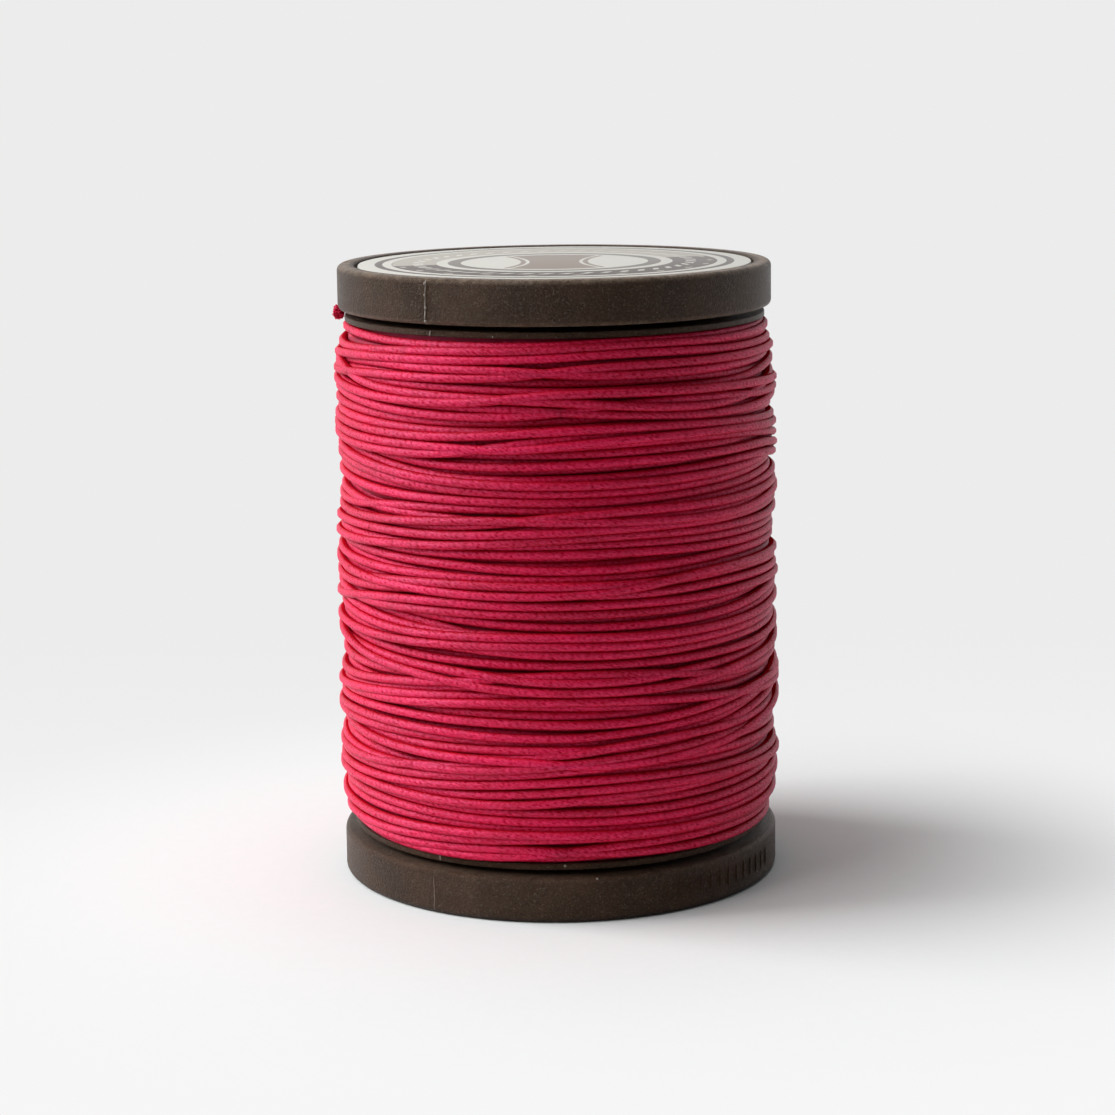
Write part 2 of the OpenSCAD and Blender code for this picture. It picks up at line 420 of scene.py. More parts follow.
# heights that the turns are laid at, back and forth between the rings
def planTurns(lay):
    rng = np.random.default_rng(lay["seed"])
    steps, turns = lay["steps"], lay["turns"]
    low, high = lay["low"] + lay["diameter"] / 2, lay["high"] - lay["diameter"] / 2
    count = steps * turns
    span = high - low
    back = (turns - np.arange(count) / steps) * lay["pitch"] / span
    z = high - span * np.abs((back + 1) % 2 - 1)
    t = 2 * math.pi * np.arange(count) / steps
    for wave, size in enumerate(lay["waves"]):
        for swing in (np.cos(wave * t), np.sin(wave * t)):
            z = z + swing * drift(rng, count, lay["group"] * steps, size)
    reach, size = lay["jitter"]
    z = z + drift(rng, count, reach * steps, size)
    calm = np.clip((count - 1 - np.arange(count)) / (lay["calm"] * steps), 0, 1)
    z = high + (z - high) * calm
    z = low + np.abs(z - low)
    z = high - np.abs(high - z)
    return np.clip(z, low, high).reshape(turns, steps)


# a grid of surface radii, a row for each step round the spool
def bareSkin(lay, cell):
    cells = lay["low"] + cell * np.arange(int((lay["high"] - lay["low"]) / cell) + 1)
    return np.full((lay["steps"], len(cells)), lay["core"]), cells


# which cells a turn lies over, and how far its round stands out there
def coverOf(z, cells, cell, half):
    span = np.arange(-int(half / cell) - 1, int(half / cell) + 3)
    j = np.clip(((z - cells[0]) / cell).astype(int)[:, None] + span, 0, len(cells) - 1)
    rise = half * half - (cells[j] - z[:, None]) ** 2
    return j, rise > 0, np.sqrt(np.clip(rise, 0, None))


def raiseSkin(skin, j, over, r, arc):
    row = np.broadcast_to(np.arange(len(skin))[:, None], j.shape)
    np.maximum.at(skin, (row, j), np.where(over, r[:, None] + arc, 0))


# lays each turn on what is there
def layTurns(z, lay):
    skin, cells = bareSkin(lay, lay["cell"])
    row = np.arange(len(skin))[:, None]
    wide = int(2 * lay["stiff"])
    r = np.zeros(z.shape)
    for m in range(len(z)):
        j, over, arc = coverOf(z[m], cells, lay["cell"], lay["diameter"] / 2)
        rest = np.where(over, skin[row, j] + arc, 0).max(1)
        ends = np.concatenate([rest[-wide:], rest, rest[:wide]])
        top = np.lib.stride_tricks.sliding_window_view(ends, 2 * wide + 1).max(1)
        r[m] = np.maximum(rest, lay["bridge"] * top + (1 - lay["bridge"]) * rest)
        raiseSkin(skin, j, over, r[m], arc)
    return r


def skinOf(z, r, lay, cell):
    skin, cells = bareSkin(lay, cell)
    for m in range(len(z)):
        j, over, arc = coverOf(z[m], cells, cell, lay["diameter"] / 2)
        raiseSkin(skin, j, over, r[m], arc)
    return skin, cells


# pairs of samples, at the same step round the spool, that may touch
def findNeighbours(z, r, lay):
    near = lay["reach"] * lay["diameter"]
    steps = z.shape[1]
    order = np.argsort(z, axis=0)
    z, r = np.take_along_axis(z, order, 0), np.take_along_axis(r, order, 0)
    column = np.broadcast_to(np.arange(steps), z.shape)
    one, two = [], []
    for k in range(1, lay["farthest"]):
        close = z[k:] - z[:-k] < near
        if not close.any():
            break
        close &= np.abs(r[k:] - r[:-k]) < near
        one.append((order[:-k] * steps + column[:-k])[close])
        two.append((order[k:] * steps + column[k:])[close])
    return np.concatenate(one), np.concatenate(two)


# pushes turns that overlap apart, the outer one more
def partTurns(z, r, one, two, lay):
    dz, dr = z[two] - z[one], r[two] - r[one]
    apart = np.sqrt(dz * dz + dr * dr) + 1e-9
    hit = apart < lay["diameter"]
    one, two, dz, dr, apart = one[hit], two[hit], dz[hit], dr[hit], apart[hit]
    push = (lay["diameter"] - apart) / apart
    even, more, gain = lay["outerShare"]
    outer = even + more * np.clip(dr / apart * gain, -1, 1)
    hits = np.bincount(one, minlength=len(z)) + np.bincount(two, minlength=len(z))
    share = 1 / np.maximum(1, lay["crowding"] * hits)
    for path, step in ((z, dz * push * lay["slip"]), (r, dr * push)):
        moved = np.bincount(two, step * outer, len(z)) - np.bincount(one, step * (1 - outer), len(z))
        path += moved * share


def settleTurns(z, r, lay, rounds, pull, core):
    shape, half = z.shape, lay["diameter"] / 2
    z, r = z.ravel().copy(), r.ravel().copy()
    laid = z.copy()
    for turn in range(rounds):
        if turn % lay["lookAgain"] == 0:
            one, two = findNeighbours(z.reshape(shape), r.reshape(shape), lay)
        r -= pull
        for path, start in ((z, laid), (r, 0)):      # what pushed a stiff turn aside is spread along it
            moved = path - start
            path += lay["bend"] * (smooth(moved, lay["stiff"]) - moved)
        for again in range(lay["passes"]):
            partTurns(z, r, one, two, lay)
            np.clip(z, lay["low"] + half, lay["high"] - half, out=z)
            np.maximum(r, core + half, out=r)
    return z.reshape(shape), r.reshape(shape)


# the radius that the surface should have at a height, and a share that is 1 beside the rings
def aimAt(z, lay):
    low, high = lay["low"], lay["high"]
    depth, reach, power = lay["drawnIn"]
    near = np.exp(-(np.clip(np.minimum(z - low, high - z), 0, None) / reach) ** power)
    return lay["outer"] + lay["taper"] * (low + high - 2 * z) / (high - low) - depth * near, near


# evens out the pack's long swells, and draws it in beside the rings
def levelTurns(z, r, lay):
    cell = lay["evenCell"]
    along, about = lay["even"]
    skin, cells = skinOf(z, r, lay, cell)
    skin = np.array([smooth(line, along / cell) for line in skin])
    skin = np.array([smooth(line, about * lay["steps"], "wrap") for line in skin.T]).T
    goal = aimAt(cells, lay)[0]
    j = np.clip(((z - cells[0]) / cell).astype(int), 0, len(cells) - 1)
    r = r + (goal - skin)[np.arange(lay["steps"])[None, :], j]
    proud = r - (goal + lay["proud"] - lay["diameter"] / 2)[j]
    return r - np.where(proud > 0, proud - lay["squash"] * np.tanh(proud / lay["squash"]), 0)


def pressTurns(z, r, lay):
    start, room = lay["press"]
    goal, near = aimAt(z, lay)
    room = room * (1 - lay["pressBeside"] * near)
    over = r - (goal + start)
    return np.where(over > 0, r - over + room * np.tanh(over / room), r)


def easeTurns(path, reach):
    return smooth(path.ravel(), reach).reshape(path.shape)


# sweeps a closed tube; the inputs hold one number for each ring
def sweepTube(name, centre, across, up, turn, sides, yaw=None):
    count = len(turn)
    r, z = centre
    a = 2 * math.pi * (np.arange(sides) + 0.5) / sides
    face = np.cos(a) if yaw is None else np.ones(sides)     # a loose end has no neighbours
    yaw = np.zeros(count) if yaw is None else yaw
    out = across[:, None] * np.cos(a)
    x = (r * np.cos(turn))[:, None] + out * np.cos(turn + yaw)[:, None]
    y = (r * np.sin(turn))[:, None] + out * np.sin(turn + yaw)[:, None]
    h = z[:, None] + up[:, None] * np.sin(a)
    points = np.stack([x, y, h], -1).reshape(-1, 3)
    i = np.arange(count - 1)[:, None] * sides
    k = np.arange(sides)[None, :]
    nextK = (k + 1) % sides
    quads = np.stack([i + k, i + sides + k, i + sides + nextK, i + nextK], -1).reshape(-1, 4)
    caps = [list(range(sides)), list(range(count * sides - 1, (count - 1) * sides - 1, -1))]
    mesh = bpy.data.meshes.new(name)
    mesh.from_pydata(points.tolist(), [], quads.tolist() + caps)
    path = np.stack([r * np.cos(turn), r * np.sin(turn), z], -1)
    along = np.concatenate([[0], np.cumsum(np.linalg.norm(np.diff(path, axis=0), axis=1))])
    # one map runs along and round the cord, the other tells how far it faces outwards
    cordMap, cordFace = np.zeros((len(mesh.loops), 2)), np.ones((len(mesh.loops), 2))
    i, k = np.divmod(np.arange(len(quads)), sides)
    girth = math.pi * float(np.median(across)) * 2
    for corner, (di, dk) in enumerate(((0, 0), (1, 0), (1, 1), (0, 1))):
        loops = np.arange(len(quads)) * 4 + corner
        cordMap[loops, 0] = along[i + di]
        cordMap[loops, 1] = (k + dk) / sides * girth
        cordFace[loops, 0] = face[(k + dk) % sides]
    mesh.uv_layers.new(name="cordMap").data.foreach_set("uv", cordMap.ravel())
    mesh.uv_layers.new(name="cordFace").data.foreach_set("uv", cordFace.ravel())
    mesh.update()
    piece = bpy.data.objects.new(name, mesh)
    bpy.context.scene.collection.objects.link(piece)
    shadeSmooth(piece, 60)
    return piece, along[-1]


def windCord(lay):
    z = planTurns(lay)
    z, r = settleTurns(z, layTurns(z, lay), lay, lay["rounds"], lay["pull"], lay["core"])
    z, r = settleTurns(z, levelTurns(z, r, lay), lay, lay["lastRounds"], 0, 0)
    r = pressTurns(z, r, lay)
    z, r = easeTurns(z, lay["ease"]), easeTurns(r, lay["ease"])
    skin = skinOf(z, r, lay, lay["cell"])[0]
    print("cord laid, surface radius in mm", np.percentile(skin / mm, [1, 5, 50, 95, 99]).round(2))
    steps = np.arange(z.size)
    turn = math.radians(lay["endTurn"]) + 2 * math.pi * (steps - steps[-1]) / lay["steps"]
    return z.ravel(), r.ravel(), turn


cordZ, cordR, cordTurn = windCord(cordLay)
cordHalf = np.full(len(cordZ), cordLay["swell"] * cordLay["diameter"] / 2)
cordWinding, cordLength = sweepTube("cordWinding", (cordR, cordZ), cordHalf, cordHalf, cordTurn,
                                    cordLay["sides"])
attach(cordWinding, "root")
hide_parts("cord_winding")
print("cord winding modelled, m of cord", round(cordLength, 2))

# the pack under the turns
packCore = {
    "radius": 16.65 * mm, "inner": 8.05 * mm, "low": 4.6 * mm, "high": 45.9 * mm,
    "around": 96, "smooth": 40,
    "pitch": 0.7 * mm, "start": 0.6,    # the under turns begin this share of a pitch up
    "steps": 60,                    # samples to a turn
    "sides": 6,
}


def makeCore(core):
    bpy.ops.mesh.primitive_cylinder_add(vertices=core["around"], radius=core["radius"],
                                        depth=core["high"] - core["low"],
                                        location=(0, 0, (core["high"] + core["low"]) / 2))
    piece = bpy.context.object
    piece.name = piece.data.name = "cordCore"
    bpy.ops.object.mode_set(mode="EDIT")
    bpy.ops.mesh.select_mode(type="FACE")
    bpy.ops.mesh.select_all(action="DESELECT")
    bpy.ops.object.mode_set(mode="OBJECT")
    for face in piece.data.polygons:
        face.select = abs(face.normal.z) > 0.9
    bpy.ops.object.mode_set(mode="EDIT")
    bpy.ops.mesh.inset(thickness=core["radius"] - core["inner"])
    bpy.ops.mesh.bridge_edge_loops()
    bpy.ops.object.mode_set(mode="OBJECT")
    bpy.ops.object.transform_apply(location=True, rotation=True, scale=True)
    shadeSmooth(piece, core["smooth"])
    return piece


# one plain layer of turns closes the gaps between the outer ones
def makeUnderTurns(core, diameter):
    turns = int((core["high"] - core["low"]) / core["pitch"]) - 1
    steps = np.arange(turns * core["steps"])
    z = core["low"] + core["pitch"] * (core["start"] + steps / core["steps"])
    r, half = np.full(len(steps), core["radius"]), np.full(len(steps), diameter / 2)
    return sweepTube("cordUnder", (r, z), half, half, 2 * math.pi * steps / core["steps"], core["sides"])[0]


cordCore = makeCore(packCore)
joinTo(cordCore, makeUnderTurns(packCore, cordLay["diameter"]))
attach(cordCore, "root")
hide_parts("cord_pack")
print("core modelled")


# the cord's end, pinched in the top groove
tailRoute = {
    # degrees on from the last turn, radius, height, half width, half height, yaw in degrees
    "rows": [
        (0, "end", "end", 0.36, 0.36, 0),
        (3, "end", "end", 0.36, 0.36, 0),
        (7, 17.61, 45.62, 0.36, 0.36, 0),
        (11, 17.61, 45.8, 0.36, 0.36, 0),
        (15, 17.62, 46.1, 0.36, 0.36, 0),
        (19, 17.66, 46.4, 0.36, 0.33, 0),
        (22, 17.71, 46.675, 0.4, 0.22, 0),
        (25, 17.7, 46.675, 0.48, 0.2, 0),
        (29, 17.2, 46.675, 0.48, 0.2, 0),
        (34, 16.71, 46.675, 0.48, 0.2, 0),
        (104, 16.71, 46.675, 0.48, 0.2, 0),
        (109, 16.81, 46.675, 0.48, 0.2, -15),
        (112, 17.2, 46.675, 0.44, 0.2, -40),
        (114, 17.3, 46.675, 0.42, 0.21, -60),
        (114.6, 17.75, 46.58, 0.4, 0.26, -70),
        (115.0, 18.15, 46.4, 0.36, 0.32, -75),
    ],
    "rings": 160,
    "closeRows": 6,                 # the last rows have rings closer together
    "sides": 10,
}


def makeTail(route, endR, endZ, endTurn):
    rows = []
    for turn, r, z, across, up, yaw in route["rows"]:
        r = endR if r == "end" else r * mm
        z = endZ if z == "end" else z * mm
        rows.append((math.radians(turn), r, z, across * mm, up * mm, math.radians(yaw)))
    rows = np.array(rows)
    fine = np.union1d(np.linspace(rows[0, 0], rows[-1, 0], route["rings"]),
                      np.linspace(rows[-route["closeRows"], 0], rows[-1, 0], route["rings"] // 3))
    turn, r, z, across, up, yaw = (np.interp(fine, rows[:, 0], rows[:, c]) for c in range(6))
    return sweepTube("cordTail", (r, z), across, up, endTurn + turn, route["sides"], yaw)[0]


# the loose threads that the cord's cut end opens into
frayLook = {
    "threads": 340,
    "points": 7,                    # along a thread
    "length": 0.3 * mm, "vary": (0.55, 0.6),
    "thick": 0.1 * mm, "thinner": 0.5,
    "root": (0.38 * mm, 0.6 * mm),  # the threads start this far round the middle, and this deep
    "outwards": 0.6, "spread": 1.6, "droop": 0.05, "stray": 0.4,
    "curl": (0.35, 0.25), "curlShare": 0.6,
    "seed": 12,
}


def makeFray(look, turn, r, z):
    rng = np.random.default_rng(look["seed"])
    end = np.array([r * math.cos(turn), r * math.sin(turn), z])
    out = np.array([math.cos(turn), math.sin(turn), 0.0])
    side = np.array([-math.sin(turn), math.cos(turn), 0.0])
    up = np.array([0.0, 0.0, 1.0])
    t = np.linspace(0, 1, look["points"])[:, None]
    wires = []
    for thread in range(look["threads"]):
        a, off = rng.random() * 2 * math.pi, math.sqrt(rng.random())
        away = (side * math.cos(a) + up * math.sin(a)) * off
        start = end + away * look["root"][0] - out * rng.random() * look["root"][1]
        aim = look["outwards"] * out + away * look["spread"] - up * look["droop"]
        aim += rng.standard_normal(3) * look["stray"]
        aim /= np.linalg.norm(aim)
        bend = rng.standard_normal(3) * look["curl"][0] - up * look["curl"][1]
        length = look["length"] * (look["vary"][0] + look["vary"][1] * rng.random())
        points = start + length * (aim * t + bend * t * t * look["curlShare"])
        wires.append((points.tolist(), (look["thick"] * (1 - look["thinner"] * t[:, 0])).tolist()))
    fray = makeWires("cordFray", wires)
    fray.data.uv_layers.new(name="cordMap")
    fray.data.uv_layers.new(name="cordFace")
    for loop in fray.data.loops:
        spot = fray.data.vertices[loop.vertex_index].co
        fray.data.uv_layers["cordMap"].data[loop.index].uv = (spot.y * 2, spot.z * 2)
        fray.data.uv_layers["cordFace"].data[loop.index].uv = (1, 0)
    return fray


cordTail = makeTail(tailRoute, cordR[-1], cordZ[-1], cordTurn[-1])
endTurn, endR, endZ = tailRoute["rows"][-1][:3]
joinTo(cordTail, makeFray(frayLook, cordTurn[-1] + math.radians(endTurn), endR * mm, endZ * mm))
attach(cordTail, "root")
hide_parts("cord_tail")
print("cord end modelled")


# a new node, placed in columns of six in the order of making
def addNode(tree, kind, **settings):
    count = len(tree.nodes)
    node = tree.nodes.new(kind)
    node.location = (200 * (count // 6) - 3000, -250 * (count % 6))
    for key, value in settings.items():
        setattr(node, key, value)
    return node


# a material, its nodes, its shader and the place on the object
def newMaterial(name):
    material = bpy.data.materials.new(name)
    material.use_nodes = True
    tree = material.node_tree
    place = addNode(tree, "ShaderNodeTexCoord").outputs["Object"]
    return material, tree, tree.nodes["Principled BSDF"], place


# a math node fed with sockets or numbers; returns its result
def combine(tree, operation, *values, clamp=False):
    node = addNode(tree, "ShaderNodeMath", operation=operation, use_clamp=clamp)
    for socket, value in zip(node.inputs, values):
        if isinstance(value, (int, float)):
            socket.default_value = value
        else:
            tree.links.new(value, socket)
    return node.outputs[0]


# value times gain plus lift, kept between 0 and 1
def addSlope(tree, value, gain, lift):
    return combine(tree, "MULTIPLY_ADD", value, gain, lift, clamp=True)


def addShares(tree, first, second, shares):
    return combine(tree, "ADD", *(combine(tree, "MULTIPLY", value, share)
                                  for value, share in zip((first, second), shares)))


# how far a value is from a middle
def addGap(tree, value, middle):
    return combine(tree, "ABSOLUTE", combine(tree, "SUBTRACT", value, middle))


# every noise in the dictionaries is its scale, detail and roughness
def addNoise(tree, place, scale, detail, roughness, kind="3D"):
    noise = addNode(tree, "ShaderNodeTexNoise", noise_dimensions=kind)
    noise.inputs["Scale"].default_value = scale
    noise.inputs["Detail"].default_value = detail
    noise.inputs["Roughness"].default_value = roughness
    tree.links.new(place, noise.inputs["W" if kind == "1D" else "Vector"])
    return noise.outputs["Fac"]


def addRamp(tree, value, stops, steps="LINEAR"):
    node = addNode(tree, "ShaderNodeValToRGB")
    ramp = node.color_ramp
    ramp.interpolation = steps
    ramp.elements[0].position, ramp.elements[0].color = stops[0][0], (*stops[0][1], 1)
    ramp.elements[1].position, ramp.elements[1].color = stops[1][0], (*stops[1][1], 1)
    for position, color in stops[2:]:
        ramp.elements.new(position).color = (*color, 1)
    tree.links.new(value, node.inputs["Fac"])
    return node.outputs["Color"]


def addMix(tree, amount, first, second, blend="MIX"):
    node = addNode(tree, "ShaderNodeMix", data_type="RGBA", blend_type=blend)
    for socket, value in ((node.inputs[0], amount), (node.inputs[6], first), (node.inputs[7], second)):
        if isinstance(value, (int, float)):
            socket.default_value = value
        elif isinstance(value, tuple):
            socket.default_value = (*value, 1)
        else:
            tree.links.new(value, socket)
    return node.outputs[2]


def addBump(tree, shader, height, distance):
    bump = addNode(tree, "ShaderNodeBump")
    bump.inputs["Distance"].default_value = distance
    tree.links.new(height, bump.inputs["Height"])
    tree.links.new(bump.outputs["Normal"], shader.inputs["Normal"])


def setShader(shader, values):
    for key, value in values.items():
        shader.inputs[key].default_value = value


def splitVector(tree, vector):
    split = addNode(tree, "ShaderNodeSeparateXYZ")
    tree.links.new(vector, split.inputs[0])
    return split.outputs["X"], split.outputs["Y"], split.outputs["Z"]


def wearMaterial(piece, material):
    piece.data.materials.clear()
    piece.data.materials.append(material)


cordLook = {
    "plait": 0.55 * mm,             # length of the braid's repeat
    "strands": 3,                   # of each hand, round the cord
    "slack": (1900, 2, 0.5), "slackSize": 5.0,      # the braid's unevenness
    "braid": 0.018,                 # how far the strands stand out, beside the fibres
    "fibres": (2600.0, 5200.0, 2000.0),     # along and round the cord, and their slant
    "grain": (1.0, 3, 0.65),
    "relief": 0.12 * mm,
    # the dye, in patches and from turn to turn
    "dye": [(0.36, (0.55, 0.0008, 0.024)), (0.64, (0.77, 0.0018, 0.056))],
    "patches": (500, 4, 0.6), "turnByTurn": (28, 2, 0.5), "shares": (0.5, 0.5),
    # each with the gain and lift that say where it begins
    # painted shade: the braid's hollows are darkened
    "valleyShade": (0.62, 0.35, 0.5), "valleyShadeFrom": (-5.0, 2.55),
    # painted highlight: paler pink on the braid's raised crowns
    "ridgeHighlight": (0.92, 0.03, 0.13), "ridgeHighlightFrom": (5.0, -2.6), "ridgeHighlightShare": 0.5,
    # painted shade where a turn lies against the next
    "creaseShade": (0.66, 0.1, 0.12), "creaseShadeFrom": (-2.0, 1.5),
    "wax": (0.85, 0.12, 0.26), "waxFrom": (1.6, -0.82), "waxShare": 0.06, "waxSpots": (1400, 5, 0.7),
    "shineFrom": (4.8, -1.6),
    "shader": {
        "Roughness": 0.47, "Specular Tint": (0.85, 0.42, 0.85, 1),
        "Subsurface Weight": 0.35, "Subsurface Radius": (1.0, 0.15, 0.3), "Subsurface Scale": 0.14 * mm,
        "Sheen Weight": 0.06, "Sheen Roughness": 0.45, "Sheen Tint": (0.8, 0.2, 0.45, 1),
    },
}


def cordFinish(look, girth):
    material, tree, shader, place = newMaterial("waxedCord")
    cordMap = addNode(tree, "ShaderNodeUVMap", uv_map="cordMap").outputs["UV"]
    cordFace = addNode(tree, "ShaderNodeUVMap", uv_map="cordFace").outputs["UV"]
    along, about = splitVector(tree, cordMap)[:2]
    facing = splitVector(tree, cordFace)[0]
    # two hands of strands cross on the braid
    slack = combine(tree, "MULTIPLY", addNoise(tree, place, *look["slack"]), look["slackSize"])
    run = combine(tree, "MULTIPLY", along, 2 * math.pi / look["plait"])
    twist = 2 * math.pi * look["strands"] / girth
    hands = []
    for side in (1, -1):
        lean = combine(tree, "MULTIPLY_ADD", about, side * twist, slack)
        wave = combine(tree, "ADD", run, lean)
        hands.append(combine(tree, "COSINE", wave))
    braid = combine(tree, "ADD", *hands)
    braid = combine(tree, "MULTIPLY", braid, look["braid"])
    # fibres run slantwise along the cord
    lengthwise, crosswise, slant = look["fibres"]
    lay = addNode(tree, "ShaderNodeCombineXYZ")
    tree.links.new(combine(tree, "MULTIPLY", along, lengthwise), lay.inputs["X"])
    lean = combine(tree, "MULTIPLY", along, slant)
    lean = combine(tree, "MULTIPLY_ADD", about, crosswise, lean)
    tree.links.new(lean, lay.inputs["Y"])
    grain = addNoise(tree, lay.outputs[0], *look["grain"])
    height = combine(tree, "ADD", braid, grain)
    patches = addNoise(tree, place, *look["patches"])
    turnByTurn = addNoise(tree, along, *look["turnByTurn"], kind="1D")
    color = addRamp(tree, addShares(tree, patches, turnByTurn, look["shares"]), look["dye"])
    # painted shade in the braid's hollows
    low = addSlope(tree, height, *look["valleyShadeFrom"])
    color = addMix(tree, low, color, look["valleyShade"], blend="MULTIPLY")
    # painted highlight on the braid's raised crowns
    high = addSlope(tree, height, *look["ridgeHighlightFrom"])
    high = combine(tree, "MULTIPLY", high, look["ridgeHighlightShare"])
    color = addMix(tree, high, color, look["ridgeHighlight"])
    # painted shade: darker where a turn lies against the next
    creaseShade = addSlope(tree, facing, *look["creaseShadeFrom"])
    color = addMix(tree, creaseShade, color, look["creaseShade"], blend="MULTIPLY")
    waxed = addSlope(tree, addNoise(tree, place, *look["waxSpots"]), *look["waxFrom"])
    waxed = combine(tree, "MULTIPLY", waxed, look["waxShare"])
    color = addMix(tree, waxed, color, look["wax"])
    tree.links.new(color, shader.inputs["Base Color"])
    shine = addSlope(tree, height, *look["shineFrom"])
    uncreased = combine(tree, "SUBTRACT", 1.0, creaseShade)
    shine = combine(tree, "MULTIPLY", shine, uncreased)
    tree.links.new(shine, shader.inputs["Specular IOR Level"])
    addBump(tree, shader, height, look["relief"])
    setShader(shader, look["shader"])
    return material


# finishes of one mottled colour
# the packed cord under the turns is a darker copy of the cord's dye: painted shade for the gaps between turns
coreShadeLook = {
    "name": "packedCordShaded", "mottle": (900, 3, 0.6), "relief": 0.05 * mm,
    "colors": [(0.3, (0.24, 0.002, 0.012)), (0.7, (0.40, 0.004, 0.020))],
    "shader": {"Roughness": 0.6, "Specular Tint": (0.7, 0.5, 1.0, 1)},
}
# the mould flash is paler than the plastic: partly its own tone, partly a painted highlight along the line
flashAndHighlightLook = {
    "name": "mouldFlashAndHighlight", "mottle": (1500, 2, 0.5), "relief": 0.0,
    "colors": [(0.35, (0.09, 0.066, 0.053)), (0.62, (0.36, 0.31, 0.27))],
    "shader": {"Roughness": 0.45},
}


def mottledFinish(look):
    material, tree, shader, place = newMaterial(look["name"])
    noise = addNoise(tree, place, *look["mottle"])
    tree.links.new(addRamp(tree, noise, look["colors"]), shader.inputs["Base Color"])
    if look["relief"]:
        addBump(tree, shader, noise, look["relief"])
    setShader(shader, look["shader"])
    return material


plasticLook = {
    "tones": [(0.39, (0.026, 0.0120, 0.0050)), (0.63, (0.066, 0.0335, 0.0185))],
    "grain": (6800, 3, 0.6), "clouds": (260, 3, 0.5), "shares": (0.55, 0.45),
    "relief": 0.3 * mm,
    "dust": (0.30, 0.25, 0.21), "dustSpots": (4700, 1, 0.5), "dustFrom": 0.70, "dustShare": 0.2,
    # paler round each edge, partly wear and partly painted highlight: height of the edge and how much paler
    # it gets
    "wearAndHighlight": (0.34, 0.25, 0.175), "edges": ((50.5 * mm, 1.0), (46.9 * mm, 0.7), (3.6 * mm, 0.22)),
    "edgeReach": 0.42 * mm, "wearAndHighlightSpots": (1300, 3, 0.6), "wearAndHighlightFrom": (1.6, -0.35),
    "seat": 16.6 * mm, "seatReach": 0.3 * mm,       # nothing is paler inside the seat
    # painted shade: nearly black towards the foot, where the spool stands on the floor
    "footShade": (0.010, 0.008, 0.0075), "foot": 0.5 * mm, "footShadeShare": 0.9,
    "roughness": (0.16, 0.29),
    "glints": (5200, 2, 0.7), "glintsFrom": (9.0, -4.9), "shine": (0.35, 0.22),
    "shader": {"Specular Tint": (1.0, 0.84, 0.74, 1)},
}


# one round the rims' edges and nothing elsewhere
def edgeShare(tree, place, look):
    x, y, z = splitVector(tree, place)
    near = None
    for edge, weight in look["edges"]:
        share = addSlope(tree, addGap(tree, z, edge), -1 / look["edgeReach"], 1.0)
        share = combine(tree, "MULTIPLY", share, weight)
        near = share if near is None else combine(tree, "MAXIMUM", near, share)
    square = combine(tree, "ADD", combine(tree, "POWER", x, 2.0), combine(tree, "POWER", y, 2.0))
    radius = combine(tree, "SQRT", square)
    outer = addSlope(tree, radius, 1 / look["seatReach"], -look["seat"] / look["seatReach"])
    return combine(tree, "MULTIPLY", near, outer), z


def plasticFinish(look):
    material, tree, shader, place = newMaterial("mouldedPlastic")
    noises = ("grain", "clouds", "dustSpots", "wearAndHighlightSpots", "glints")
    grain, clouds, dust, wearAndHighlight, glints = (addNoise(tree, place, *look[key]) for key in noises)
    color = addRamp(tree, addShares(tree, grain, clouds, look["shares"]), look["tones"])
    dust = combine(tree, "GREATER_THAN", dust, look["dustFrom"])
    dust = combine(tree, "MULTIPLY", dust, look["dustShare"])
    color = addMix(tree, dust, color, look["dust"])
    edges, z = edgeShare(tree, place, look)
    # paler round the edges: wear and painted highlight, strongest at the top edge
    wornAndHighlit = combine(tree, "MULTIPLY", edges, addSlope(tree, wearAndHighlight, *look["wearAndHighlightFrom"]))
    color = addMix(tree, wornAndHighlit, color, look["wearAndHighlight"])
    # painted shade darkens the foot
    foot = combine(tree, "MULTIPLY", addSlope(tree, z, -1 / look["foot"], 1.0), look["footShadeShare"])
    color = addMix(tree, foot, color, look["footShade"])
    tree.links.new(color, shader.inputs["Base Color"])
    roughness = addSlope(tree, clouds, *look["roughness"])
    tree.links.new(roughness, shader.inputs["Roughness"])
    # fine glints where light strikes the moulded grain
    shine = addSlope(tree, addSlope(tree, glints, *look["glintsFrom"]), *look["shine"])
    tree.links.new(shine, shader.inputs["Specular IOR Level"])
    addBump(tree, shader, grain, look["relief"])
    setShader(shader, look["shader"])
    return material


# all sizes on the card are shares of its radius
labelLook = {
    "paper": (0.62, 0.605, 0.548), "ink": (0.050, 0.029, 0.020), "grey": (0.125, 0.108, 0.088),
    "paleTone": (0.40, 0.37, 0.31), "bobbin": (0.21, 0.152, 0.115),
    # where each ring starts
    "rings": [
        (0, "paper"), (0.475, "grey"), (0.54, "paper"), (0.60, "ink"),
        (0.825, "paper"), (0.872, "ink"), (0.912, "paper"),
    ],
    "band": (0.7125, 0.1125),       # middle and half width of the printed band
    "paleFrom": (-0.25, 0.05),     # slope and place of the line behind which the band is pale
    "dashes": {"round": 44.0, "lean": 60.0, "above": 0.25, "row": (0.695, 0.026)},
    "lozenges": {"round": 11.0, "row": 0.79, "narrow": 26.0, "size": 0.5},
    "waist": (0.7, 0.17), "bobbinSize": 0.43,
    "line": (-0.035, 0.009),
    "tooth": [(0.3, (0.72, 0.71, 0.69)), (0.7, (1, 1, 1))], "toothSpots": (2600, 4, 0.7), "toothShare": 0.35,
    "waves": (140, 2, 0.4), "waveRelief": 0.04 * mm,
    "shader": {"Roughness": 0.3, "Specular IOR Level": 0.2, "Specular Tint": (1.0, 0.93, 0.86, 1)},
}
